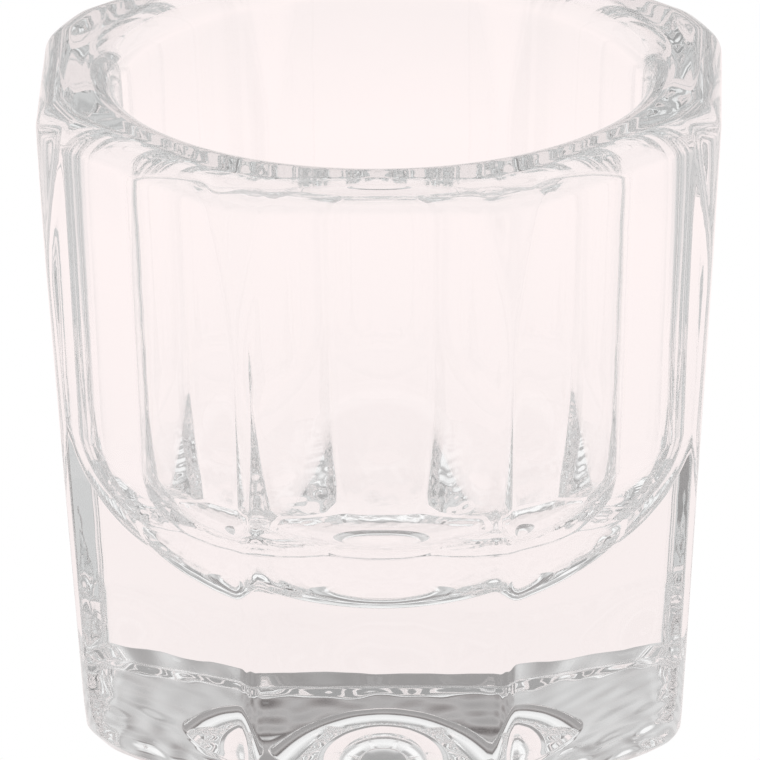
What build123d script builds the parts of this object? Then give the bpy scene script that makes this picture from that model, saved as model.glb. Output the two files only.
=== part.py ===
from build123d import *
import os

# A clear glass cup for nail liquids, pressed in one piece: eight flat sides that widen towards
# the rim, a round bowl with a deeply rounded bottom, and a thick base with a shallow round
# hollow under it. It has no other pieces and nothing in it moves.
#
# Frame: the origin is the middle of the foot, on the surface that the cup stands on. +Z is the
# cup's axis, up through the bowl, and one flat faces -Y. Millimetres.

# Outside
HEIGHT = 36.3
SIDES = 8
RIM_FLATS = 36.0            # across the flats at the rim, if its edge were sharp
FOOT_FLATS = 31.5           # across the flats at the foot, if it had no bevel
CORNER_R = 1.5              # rounding of the eight upright edges
CORNER_TURN_R = 18.8        # the corners near the rim are cut back to this radius
BEVEL_HEIGHT = 0.7          # bevel round the foot
BEVEL_WIDTH = 0.7
FOOT_CORNER_R = 4.0         # the foot's corners are rounder than the edges above them
RIM_OUTER_R = 1.5           # fire-polished rounding of the rim, outside and inside
RIM_INNER_R = 1.7

# Bowl
BOWL_RIM_R = 13.9           # radius of the bowl's wall, run up to the rim's height
BOWL_SPRING_R = 13.35       # where the wall runs into the rounded bottom
BOWL_SPRING_Z = 16.9
BOWL_FLOOR_Z = 8.8          # thickness of the glass under the bowl

# Hollow under the base
HOLLOW_R = 6.0
HOLLOW_DEPTH = 2.2
HOLLOW_EDGE_R = 0.3

half_step = 180 / SIDES     # from the middle of a flat to a corner, degrees
bevel_top_flats = FOOT_FLATS + (RIM_FLATS - FOOT_FLATS) * BEVEL_HEIGHT / HEIGHT
bevel_foot_flats = bevel_top_flats - 2 * BEVEL_WIDTH
hollow_sphere_r = (HOLLOW_R**2 + HOLLOW_DEPTH**2) / (2 * HOLLOW_DEPTH)

# Sections of the outside: height, size across the flats, corner rounding.
SECTIONS = [
    (0, bevel_foot_flats, FOOT_CORNER_R),
    (BEVEL_HEIGHT, bevel_top_flats, CORNER_R),
    (HEIGHT, RIM_FLATS, CORNER_R),
]

with BuildPart() as glass_cup:
    # Faceted outside: one ruled loft through the sections.
    for z, flats, corner_r in SECTIONS:
        with BuildSketch(Plane.XY.offset(z)) as section:
            RegularPolygon(flats / 2, SIDES, major_radius=False, rotation=half_step)
            fillet(section.vertices(), corner_r)
    loft(ruled=True)

    # The corners near the rim are cut back to a cylinder.
    with BuildSketch(Plane.XY):
        Circle(CORNER_TURN_R)
    extrude(amount=HEIGHT, mode=Mode.INTERSECT)

    # Rounded outer edge of the rim.
    rim_face = glass_cup.faces().sort_by(Axis.Z)[-1]
    fillet(rim_face.edges(), RIM_OUTER_R)

    # Bowl: half of its section, turned about the axis.
    with BuildSketch(Plane.XZ) as bowl_half:
        with BuildLine():
            # Bottom: a quarter of an ellipse, from the axis out to the wall.
            EllipticalCenterArc(
                (0, BOWL_SPRING_Z),
                BOWL_SPRING_R,
                BOWL_SPRING_Z - BOWL_FLOOR_Z,
                start_angle=270,
                arc_size=90,
            )
            Polyline(
                (BOWL_SPRING_R, BOWL_SPRING_Z),
                (BOWL_RIM_R, HEIGHT),
                (0, HEIGHT),
                (0, BOWL_FLOOR_Z),
            )
        make_face()
    revolve(axis=Axis.Z, mode=Mode.SUBTRACT)

    # Rounded inner edge of the rim.
    rim_face = glass_cup.faces().sort_by(Axis.Z)[-1]
    fillet(rim_face.inner_wires().edges(), RIM_INNER_R)

    # Shallow round hollow under the base: part of a sphere, with a softened edge.
    with Locations((0, 0, HOLLOW_DEPTH - hollow_sphere_r)):
        Sphere(hollow_sphere_r, mode=Mode.SUBTRACT)
    foot_face = glass_cup.faces().sort_by(Axis.Z)[0]
    fillet(foot_face.inner_wires().edges(), HOLLOW_EDGE_R)

glass_cup.part.label = "glass_cup"
os.makedirs("parts", exist_ok=True)
export_step(glass_cup.part, "parts/glass_cup.step")
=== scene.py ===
import bpy
import math
import numpy as np
from mathutils import Matrix, Vector


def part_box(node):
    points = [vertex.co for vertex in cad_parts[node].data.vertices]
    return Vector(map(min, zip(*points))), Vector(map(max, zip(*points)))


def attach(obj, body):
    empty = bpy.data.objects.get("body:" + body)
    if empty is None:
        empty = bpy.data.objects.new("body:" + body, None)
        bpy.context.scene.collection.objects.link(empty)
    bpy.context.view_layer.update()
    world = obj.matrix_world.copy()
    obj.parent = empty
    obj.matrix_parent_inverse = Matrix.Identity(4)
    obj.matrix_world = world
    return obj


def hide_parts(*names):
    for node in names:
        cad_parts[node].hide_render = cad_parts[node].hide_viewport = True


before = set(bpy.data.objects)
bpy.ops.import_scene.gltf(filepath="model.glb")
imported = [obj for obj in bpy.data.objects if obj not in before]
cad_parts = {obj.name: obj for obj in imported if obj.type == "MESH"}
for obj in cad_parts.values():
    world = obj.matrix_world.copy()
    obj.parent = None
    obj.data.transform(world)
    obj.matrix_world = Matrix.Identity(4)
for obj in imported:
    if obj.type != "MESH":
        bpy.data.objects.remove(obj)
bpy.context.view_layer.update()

# A clear pressed-glass cup on a pale studio floor. The CAD node "glass_cup" is replaced by a
# finer mesh of the same shape, with the soft edges and slight waviness of pressed glass.
# Lengths named _MM are in millimetres; everything handed to Blender is in metres.
MM = 0.001

# ------------------------------------------------------------ sizes, as in the CAD model
SIDES = 8
RIM_FLATS_MM = 36.0
FOOT_FLATS_MM = 31.5
CORNER_R_MM = 1.5
CORNER_TURN_R_MM = 18.8
BEVEL_HEIGHT_MM = 0.7
BEVEL_WIDTH_MM = 0.7
FOOT_CORNER_R_MM = 4.0
RIM_OUTER_R_MM = 1.5
RIM_INNER_R_MM = 1.7
BOWL_RIM_R_MM = 13.9
BOWL_SPRING_R_MM = 13.35    # where the wall runs into the rounded bottom
BOWL_SPRING_Z_MM = 16.9
BOWL_FLOOR_Z_MM = 8.8
HOLLOW_R_MM = 6.0
HOLLOW_DEPTH_MM = 2.2
HOLLOW_EDGE_R_MM = 0.3

# ------------------------------------------------------------ sizes of the finer mesh only
BEVEL_TOP_R_MM = 0.4        # the bevel's two edges are soft
BEVEL_FOOT_R_MM = 0.25
CORNER_BLEND_MM = 0.12      # the cut-back corners run softly into the flats
SHARP_ANGLE = 35            # degrees; faces that meet at more than this keep a hard edge
AXIS_HOLE_R_MM = 0.3        # a small flat disc closes each end of the mesh at the axis
COLUMNS_PER_SIDE = 44
COLUMN_CROWDING = 1.2       # columns crowd a little towards the upright edges

# Unevenness of the pressed and fire-polished surface: height and lengths of its waves.
WAVE_R_MM = 17.0
BODY_WAVE_MM = 0.012
BODY_WAVELENGTHS_MM = (22, 15, 11, 9)
RIM_WAVE_MM = 0.025
RIM_WAVE_REACH_MM = 2.5
RIM_WAVELENGTHS_MM = (26, 18, 12, 9)
FOOT_WAVE_MM = 0.10
FOOT_WAVE_REACH_MM = 1.6
FOOT_WAVELENGTHS_MM = (18, 9, 6, 4)
BEVEL_RISE_MM = 0.22
BEVEL_RISE_LENGTHS_MM = (20, 11, 7, 5)
FOOT_LUMP_MM = 0.30         # lumps in the ring that the cup stands on, smoothest behind
FOOT_LUMPS_MM = (7, 5.5, 4.5, 3.6, 3, 2.6, 2.2)
FOOT_SMOOTHEST = 0.15
BEVEL_FADE_MM = 4 * BEVEL_HEIGHT_MM     # what the bevel shapes dies out by this height

# Each uneven pattern has a random seed of its own.
BODY_SEED = 3
RIM_SEED = 8
FOOT_SEED = 5
BEVEL_SEED = 12
LUMP_SEED = 21
BOWL_TURN = 1.0             # the bowl's waves are the outside's, turned by this angle

# Rows of the mesh along each stretch of the outline.
HOLLOW_STEPS = 26
SMALL_EDGE_STEPS = 6
FOOT_STEPS = 26
WALL_STEPS = 50
RIM_OUTER_STEPS = 14
RIM_TOP_STEPS = 8
RIM_INNER_STEPS = 12
BOWL_WALL_STEPS = 30
BOWL_BOTTOM_STEPS = 80

HALF_STEP = math.pi / SIDES

low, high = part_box("glass_cup")
HEIGHT_MM = (high.z - low.z) / MM


# ------------------------------------------------------------ camera
def add_camera():
    """The photograph's view: from above the rim, looking down into the bowl."""
    elevation = math.radians(22.3)
    azimuth = math.radians(1.5)
    roll = math.radians(-0.485)
    distance = 0.700
    frame_width = 0.0403     # width of the view at the cup's axis
    aim = Vector((-0.00017, 0, HEIGHT_MM * MM / 2 + 0.00015))

    data = bpy.data.cameras.new("camera")
    camera = bpy.data.objects.new("camera", data)
    bpy.context.scene.collection.objects.link(camera)
    back = Vector((
        math.sin(azimuth) * math.cos(elevation),
        -math.cos(azimuth) * math.cos(elevation),
        math.sin(elevation),
    ))
    turn = (-back).to_track_quat("-Z", "Y").to_matrix().to_4x4()
    camera.matrix_world = Matrix.Translation(aim + back * distance) @ turn @ Matrix.Rotation(roll, 4, "Z")
    data.sensor_width = 36
    data.lens = data.sensor_width * distance / frame_width
    data.clip_start = 0.01
    data.clip_end = 20
    bpy.context.scene.camera = camera


# ------------------------------------------------------------ studio
def colour_ramp(tree, source, stops):
    """A colour ramp on a value, from (position, (r, g, b)) stops."""
    ramp = tree.nodes.new("ShaderNodeValToRGB")
    elements = ramp.color_ramp.elements
    elements.remove(elements[-1])
    elements[0].position = stops[0][0]
    elements[0].color = (*stops[0][1], 1)
    for position, colour in stops[1:]:
        elements.new(position).color = (*colour, 1)
    tree.links.new(source, ramp.inputs["Fac"])
    return ramp.outputs["Color"]


def white_to_camera(tree, colour):
    """Plain white where the camera looks straight at it, and colour where the glass sees it."""
    path = tree.nodes.new("ShaderNodeLightPath")
    mix = tree.nodes.new("ShaderNodeMix")
    mix.data_type = "RGBA"
    mix.inputs["B"].default_value = (1, 1, 1, 1)
    tree.links.new(path.outputs["Is Camera Ray"], mix.inputs["Factor"])
    tree.links.new(colour, mix.inputs["A"])
    return mix.outputs["Result"]


def shade(brightness, pinkness=0.0):
    """A grey of that brightness, with its green and blue lowered by a share where it is pinkish."""
    return (brightness, brightness * (1 - pinkness), brightness * (1 - pinkness * 1.1))


# What surrounds the cup, by elevation in degrees: (elevation, brightness, pinkness). Behind it, the
# pale table ends at a dim room, with a broad soft light above that and a dim ceiling.
BEHIND = [
    (-90, 0.90, 0.08),
    (-12, 0.75, 0.04),
    (-4, 0.56, 0.00),
    (4, 0.32, 0.03),
    (18, 0.34, 0.03),
    (24, 0.44, 0.03),
    (28, 0.28, 0.06),
    (32, 0.12, 0.10),
    (36, 0.85, 0.00),
    (50, 1.00, 0.00),
    (60, 0.80, 0.00),
    (67, 0.42, 0.00),
    (72, 0.36, 0.00),
    (90, 0.36, 0.00),
]

# To its sides and on the camera's side, the room is paler.
BESIDE = [
    (-90, 0.90, 0.08),
    (-12, 0.66, 0.03),
    (-4, 0.60, 0.00),
    (6, 0.74, 0.00),
    (20, 0.72, 0.00),
    (30, 0.58, 0.00),
    (41, 0.58, 0.00),
    (46, 1.05, 0.00),
    (54, 1.05, 0.00),
    (59, 0.42, 0.00),
    (72, 0.36, 0.00),
    (90, 0.36, 0.00),
]
BEHIND_FROM = 0.80          # cosine of the angle from straight behind at which BEHIND sets in
BEHIND_FULL = 0.94

# The floor's painted glow by distance from the cup's axis, a pool of light brightest close around the cup:
# (metres, brightness, pinkness).
FLOOR_RADIUS = 0.5
FLOOR_GAP = 0.0001          # the glass rests on a few high points, with air under the rest of it
FLOOR_LIGHT = [
    (0.00, 0.99, 0.085),
    (0.06, 0.99, 0.085),
    (0.09, 1.03, 0.095),
    (0.18, 0.78, 0.035),
    (0.50, 0.54, 0.00),
]


def add_surroundings():
    world = bpy.data.worlds.new("surroundings")
    world.use_nodes = True
    tree = world.node_tree
    direction = tree.nodes.new("ShaderNodeTexCoord")
    split = tree.nodes.new("ShaderNodeSeparateXYZ")
    height = tree.nodes.new("ShaderNodeMapRange")
    height.inputs["From Min"].default_value = -1
    tree.links.new(direction.outputs["Generated"], split.inputs["Vector"])
    tree.links.new(split.outputs["Z"], height.inputs["Value"])
    behind, beside = (
        colour_ramp(tree, height.outputs["Result"], [
            ((math.sin(math.radians(elevation)) + 1) / 2, shade(brightness, pinkness))
            for elevation, brightness, pinkness in stops
        ])
        for stops in (BEHIND, BESIDE)
    )

    # How far a direction points straight behind the cup, whatever its height.
    level = tree.nodes.new("ShaderNodeVectorMath")
    level.operation = "MULTIPLY"
    level.inputs[1].default_value = (1, 1, 0)
    heading = tree.nodes.new("ShaderNodeVectorMath")
    heading.operation = "NORMALIZE"
    backward = tree.nodes.new("ShaderNodeVectorMath")
    backward.operation = "DOT_PRODUCT"
    backward.inputs[1].default_value = (0, 1, 0)
    share = tree.nodes.new("ShaderNodeMapRange")
    share.interpolation_type = "SMOOTHSTEP"
    share.inputs["From Min"].default_value = BEHIND_FROM
    share.inputs["From Max"].default_value = BEHIND_FULL
    mix = tree.nodes.new("ShaderNodeMix")
    mix.data_type = "RGBA"
    tree.links.new(direction.outputs["Generated"], level.inputs[0])
    tree.links.new(level.outputs["Vector"], heading.inputs[0])
    tree.links.new(heading.outputs["Vector"], backward.inputs[0])
    tree.links.new(backward.outputs["Value"], share.inputs["Value"])
    tree.links.new(share.outputs["Result"], mix.inputs["Factor"])
    tree.links.new(beside, mix.inputs["A"])
    tree.links.new(behind, mix.inputs["B"])
    colour = mix.outputs["Result"]
    tree.links.new(white_to_camera(tree, colour), tree.nodes["Background"].inputs["Color"])
    bpy.context.scene.world = world


def add_floor():
    """A round pale floor, at the height of the cup's foot. It glows with a painted pool of light,
    brightest close around the cup.
    """
    points = 96
    angles = [2 * math.pi * i / points for i in range(points)]
    height = low.z - FLOOR_GAP
    rim = [(FLOOR_RADIUS * math.cos(a), FLOOR_RADIUS * math.sin(a), height) for a in angles]
    mesh = bpy.data.meshes.new("floor")
    mesh.from_pydata(rim, [], [tuple(range(points))])
    floor = bpy.data.objects.new("floor", mesh)
    bpy.context.scene.collection.objects.link(floor)

    material = bpy.data.materials.new("glowing_floor")
    material.use_nodes = True
    tree = material.node_tree
    tree.nodes.clear()
    place = tree.nodes.new("ShaderNodeTexCoord")
    distance = tree.nodes.new("ShaderNodeVectorMath")
    distance.operation = "LENGTH"
    share = tree.nodes.new("ShaderNodeMath")
    share.operation = "DIVIDE"
    share.inputs[1].default_value = FLOOR_RADIUS
    tree.links.new(place.outputs["Object"], distance.inputs["Vector"])
    tree.links.new(distance.outputs["Value"], share.inputs[0])
    stops = [(r / FLOOR_RADIUS, shade(brightness, pinkness)) for r, brightness, pinkness in FLOOR_LIGHT]
    colour = colour_ramp(tree, share.outputs["Value"], stops)
    # The floor glows with painted light: brightest a little way out from the cup, dimmer towards its edge.
    glow = tree.nodes.new("ShaderNodeEmission")
    output = tree.nodes.new("ShaderNodeOutputMaterial")
    tree.links.new(white_to_camera(tree, colour), glow.inputs["Color"])
    tree.links.new(glow.outputs["Emission"], output.inputs["Surface"])
    mesh.materials.append(material)


def set_light_paths():
    """Light crosses many glass surfaces before it leaves the cup."""
    scene = bpy.context.scene
    scene.view_settings.view_transform = "Standard"
    scene.cycles.max_bounces = 40
    scene.cycles.transmission_bounces = 40
    scene.cycles.glossy_bounces = 24


# ------------------------------------------------------------ outlines
def rounded_corner(before, corner, after, radius, steps):
    """Points of the arc that rounds a corner between two straight lines, as (r, z)."""
    before, corner, after = (np.array(p, float) for p in (before, corner, after))
    to_before = (before - corner) / np.linalg.norm(before - corner)
    to_after = (after - corner) / np.linalg.norm(after - corner)
    half = math.acos(np.clip(to_before @ to_after, -1, 1)) / 2
    middle = (to_before + to_after) / np.linalg.norm(to_before + to_after)
    centre = corner + middle * radius / math.sin(half)
    start = corner + to_before * radius / math.tan(half) - centre
    end = corner + to_after * radius / math.tan(half) - centre
    sweep = math.atan2(start[0] * end[1] - start[1] * end[0], start @ end)
    points = []
    for angle in np.linspace(0, sweep, steps + 1):
        c, s = math.cos(angle), math.sin(angle)
        points.append(centre + np.array([c * start[0] - s * start[1], s * start[0] + c * start[1]]))
    return points


def between(a, b, steps):
    """Evenly spaced points between a and b, without a and b themselves."""
    a, b = np.array(a, float), np.array(b, float)
    return [a + (b - a) * i / steps for i in range(1, steps)]


def half_flats(z):
    """Half the size across the flats at height z."""
    return (FOOT_FLATS_MM + (RIM_FLATS_MM - FOOT_FLATS_MM) * z / HEIGHT_MM) / 2


def column_azimuths():
    """Azimuths of the mesh's columns, ever closer together towards each upright edge."""
    shares = np.linspace(-1, 1, COLUMNS_PER_SIDE + 1)[:-1]
    from_corner = np.sign(shares) * HALF_STEP * np.abs(shares) ** COLUMN_CROWDING
    corners = [-math.pi / 2 + HALF_STEP + 2 * HALF_STEP * k for k in range(SIDES)]
    return np.concatenate([corner + from_corner for corner in corners])


def octagon_radius(azimuths, half, corner_r):
    """Distance from the axis to an octagon with rounded corners, at each azimuth."""
    from_flat = (azimuths + math.pi / 2 + HALF_STEP) % (2 * HALF_STEP) - HALF_STEP
    from_corner = HALF_STEP - np.abs(from_flat)
    tangent_point = HALF_STEP - math.atan((half - corner_r) * math.tan(HALF_STEP) / half)
    arc_centre = (half - corner_r) / math.cos(HALF_STEP)
    reach = np.maximum(corner_r**2 - (arc_centre * np.sin(from_corner)) ** 2, 0)
    rounded = arc_centre * np.cos(from_corner) + np.sqrt(reach)
    return np.where(from_corner < tangent_point, rounded, half / np.cos(from_flat))


def soft_minimum(a, b, blend):
    """The smaller of two radii, with a smooth passage from one to the other."""
    share = np.clip(0.5 + 0.5 * (b - a) / blend, 0, 1)
    return b * (1 - share) + a * share - blend * share * (1 - share)


def corner_radius(z):
    """Rounding of the upright edges: large at the foot, small above the bevel."""
    bevel_share = max(0.0, 1 - z / BEVEL_FADE_MM)
    return CORNER_R_MM + (FOOT_CORNER_R_MM - CORNER_R_MM) * bevel_share**2


def outside_ring(azimuths, half, z):
    """Radii of one ring of the outside, whose flats stand half away from the axis."""
    octagon = octagon_radius(azimuths, half, corner_radius(z))
    turned = CORNER_TURN_R_MM - max(half_flats(z) - half, 0)
    return soft_minimum(octagon, turned, CORNER_BLEND_MM)


def waves(azimuths, z, wavelengths, seed):
    """A smooth uneven pattern over the outside or the bowl, about -1 to 1."""
    rng = np.random.default_rng(seed)
    total = np.zeros(len(azimuths))
    around = 2 * math.pi * WAVE_R_MM
    for wavelength in wavelengths:
        turns = max(1, round(around / wavelength * rng.uniform(0.6, 1.2)))
        rise = rng.uniform(-1, 1) * 2 * math.pi / wavelength
        total += np.sin(turns * azimuths + rise * z + rng.uniform(0, 2 * math.pi))
    return total / len(wavelengths)


def unevenness(azimuths, z):
    """How far the pressed surface stands off its true shape at height z, in millimetres."""
    body = BODY_WAVE_MM * waves(azimuths, z, BODY_WAVELENGTHS_MM, BODY_SEED)
    rim_share = math.exp(-(((HEIGHT_MM - z) / RIM_WAVE_REACH_MM) ** 2))
    foot_share = math.exp(-((z / FOOT_WAVE_REACH_MM) ** 2))
    rim = RIM_WAVE_MM * rim_share * waves(azimuths, z, RIM_WAVELENGTHS_MM, RIM_SEED)
    foot = FOOT_WAVE_MM * foot_share * waves(azimuths, z, FOOT_WAVELENGTHS_MM, FOOT_SEED)
    return body + rim + foot


def bevel_rise(azimuths, z):
    """How much higher or lower the bevel runs at each azimuth. The foot itself stays level."""
    share = min(1.0, z / BEVEL_HEIGHT_MM) * math.exp(-((z / BEVEL_FADE_MM) ** 2))
    return BEVEL_RISE_MM * share * waves(azimuths, 0.0, BEVEL_RISE_LENGTHS_MM, BEVEL_SEED)


def foot_rings(azimuths, inner, outer):
    """The foot from its inner to its outer edge, a little hollow and lumpy between them."""
    smooth_behind = FOOT_SMOOTHEST + (1 - FOOT_SMOOTHEST) * (1 - np.sin(azimuths)) / 2
    rng = np.random.default_rng(LUMP_SEED)
    ways = rng.uniform(0, 2 * math.pi, len(FOOT_LUMPS_MM))
    starts = rng.uniform(0, 2 * math.pi, len(FOOT_LUMPS_MM))
    rings = []
    for i in range(1, FOOT_STEPS):
        share = i / FOOT_STEPS
        radius = inner * (1 - share) + outer * share
        lumps = 0
        for wavelength, way, start in zip(FOOT_LUMPS_MM, ways, starts):
            lumps = lumps + np.sin(2 * math.pi / wavelength * radius * np.cos(azimuths - way) + start)
        height = FOOT_LUMP_MM * smooth_behind * (1 + lumps / len(FOOT_LUMPS_MM))
        rings.append((radius, height * math.sin(math.pi * share) ** 0.5))
    return rings


def cup_rings(azimuths):
    """The cup's surface as rings of (radii, z), from under the base, over the rim, to the bowl's floor."""
    foot = (half_flats(BEVEL_HEIGHT_MM) - BEVEL_WIDTH_MM, 0.0)
    bevel_top = (half_flats(BEVEL_HEIGHT_MM), BEVEL_HEIGHT_MM)
    rim_outer = (half_flats(HEIGHT_MM), HEIGHT_MM)
    rim_inner = (BOWL_RIM_R_MM, HEIGHT_MM)
    bowl_spring = (BOWL_SPRING_R_MM, BOWL_SPRING_Z_MM)

    # Hollow under the base, from the axis outwards.
    sphere_r = (HOLLOW_R_MM**2 + HOLLOW_DEPTH_MM**2) / (2 * HOLLOW_DEPTH_MM)
    cap = [
        np.array((r, HOLLOW_DEPTH_MM - sphere_r + math.sqrt(sphere_r**2 - r**2)))
        for r in np.linspace(AXIS_HOLE_R_MM, HOLLOW_R_MM - HOLLOW_EDGE_R_MM, HOLLOW_STEPS)
    ]
    cap += rounded_corner(cap[-1], (HOLLOW_R_MM, 0), foot, HOLLOW_EDGE_R_MM, SMALL_EDGE_STEPS)

    # Outside, from the foot up to the top of the rim.
    outside = rounded_corner(cap[-1], foot, bevel_top, BEVEL_FOOT_R_MM, SMALL_EDGE_STEPS)
    bevel_edge = rounded_corner(foot, bevel_top, rim_outer, BEVEL_TOP_R_MM, SMALL_EDGE_STEPS)
    outside += between(outside[-1], bevel_edge[0], SMALL_EDGE_STEPS) + bevel_edge
    rim_edge = rounded_corner(bevel_top, rim_outer, rim_inner, RIM_OUTER_R_MM, RIM_OUTER_STEPS)
    outside += between(outside[-1], rim_edge[0], WALL_STEPS) + rim_edge

    # Bowl, from the top of the rim down to the axis.
    bowl = rounded_corner(rim_outer, rim_inner, bowl_spring, RIM_INNER_R_MM, RIM_INNER_STEPS)
    bowl += between(bowl[-1], bowl_spring, BOWL_WALL_STEPS)
    depth = BOWL_SPRING_Z_MM - BOWL_FLOOR_Z_MM
    for angle in np.linspace(0, math.acos(AXIS_HOLE_R_MM / BOWL_SPRING_R_MM), BOWL_BOTTOM_STEPS):
        reach = BOWL_SPRING_R_MM * math.cos(angle)
        bowl.append(np.array((reach, BOWL_SPRING_Z_MM - depth * math.sin(angle))))

    def circle(radius):
        return np.full(len(azimuths), radius)

    def blended(inner, outer, z, steps):
        return [(inner * (1 - i / steps) + outer * i / steps, z) for i in range(1, steps)]

    rings = [(circle(r), z) for r, z in cap]
    foot_ring = outside_ring(azimuths, outside[0][0], 0.0) - unevenness(azimuths, 0.0)
    rings += foot_rings(azimuths, rings[-1][0], foot_ring)
    for r, z in outside:
        radii = outside_ring(azimuths, r, z) - unevenness(azimuths, z)
        rings.append((radii, z + bevel_rise(azimuths, z)))
    rim_ring = circle(bowl[0][0]) + unevenness(azimuths + BOWL_TURN, HEIGHT_MM)
    rings += blended(rings[-1][0], rim_ring, HEIGHT_MM, RIM_TOP_STEPS)
    for r, z in bowl:
        fade = min(1.0, r / BOWL_SPRING_R_MM)
        rings.append((circle(r) + fade * unevenness(azimuths + BOWL_TURN, z), z))
    return rings


# ------------------------------------------------------------ the glass
ABSORPTION_COLOUR = (0.70, 0.73, 0.73, 1)
ABSORPTION_DENSITY = 6.0    # per metre
DIMPLE_SIZE_MM = 1.9
DIMPLE_DEPTH_MM = 0.005


def add_cup():
    azimuths = column_azimuths()
    rings = cup_rings(azimuths)
    radii = np.array([r for r, z in rings])
    heights = np.array([np.broadcast_to(z, len(azimuths)) for r, z in rings])
    places = np.stack([radii * np.cos(azimuths), radii * np.sin(azimuths), heights], axis=-1)
    rows, columns = radii.shape

    faces = []
    for i in range(rows - 1):
        for j in range(columns):
            k = (j + 1) % columns
            faces.append((i * columns + j, i * columns + k, (i + 1) * columns + k, (i + 1) * columns + j))
    faces.append(tuple(reversed(range(columns))))
    faces.append(tuple((rows - 1) * columns + j for j in range(columns)))

    mesh = bpy.data.meshes.new("pressed_glass_cup")
    mesh.from_pydata((places.reshape(-1, 3) * MM).tolist(), [], faces)
    mesh.shade_smooth()
    mesh.set_sharp_from_angle(angle=math.radians(SHARP_ANGLE))
    cup = bpy.data.objects.new("pressed_glass_cup", mesh)
    cup.location.z = low.z
    bpy.context.scene.collection.objects.link(cup)
    mesh.materials.append(clear_glass())
    return cup


def clear_glass():
    material = bpy.data.materials.new("clear_glass")
    material.use_nodes = True
    tree = material.node_tree
    shader = tree.nodes["Principled BSDF"]
    shader.inputs["Base Color"].default_value = (1, 1, 1, 1)
    shader.inputs["Transmission Weight"].default_value = 1
    shader.inputs["Roughness"].default_value = 0
    shader.inputs["IOR"].default_value = 1.54

    # The glass takes up a little of the light that crosses it, so its thick base is a shade darker.
    absorption = tree.nodes.new("ShaderNodeVolumeAbsorption")
    absorption.inputs["Color"].default_value = ABSORPTION_COLOUR
    absorption.inputs["Density"].default_value = ABSORPTION_DENSITY
    tree.links.new(absorption.outputs["Volume"], tree.nodes["Material Output"].inputs["Volume"])

    # Faint mould marks: broad shallow dimples.
    place = tree.nodes.new("ShaderNodeTexCoord")
    dimples = tree.nodes.new("ShaderNodeTexNoise")
    dimples.inputs["Scale"].default_value = 1 / (DIMPLE_SIZE_MM * MM)
    dimples.inputs["Detail"].default_value = 1
    bump = tree.nodes.new("ShaderNodeBump")
    bump.inputs["Strength"].default_value = 1
    bump.inputs["Distance"].default_value = DIMPLE_DEPTH_MM * MM
    tree.links.new(place.outputs["Object"], dimples.inputs["Vector"])
    tree.links.new(dimples.outputs["Fac"], bump.inputs["Height"])
    tree.links.new(bump.outputs["Normal"], shader.inputs["Normal"])
    return material


add_camera()
add_surroundings()
add_floor()
set_light_paths()
cup = add_cup()
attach(cup, "root")
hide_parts("glass_cup")
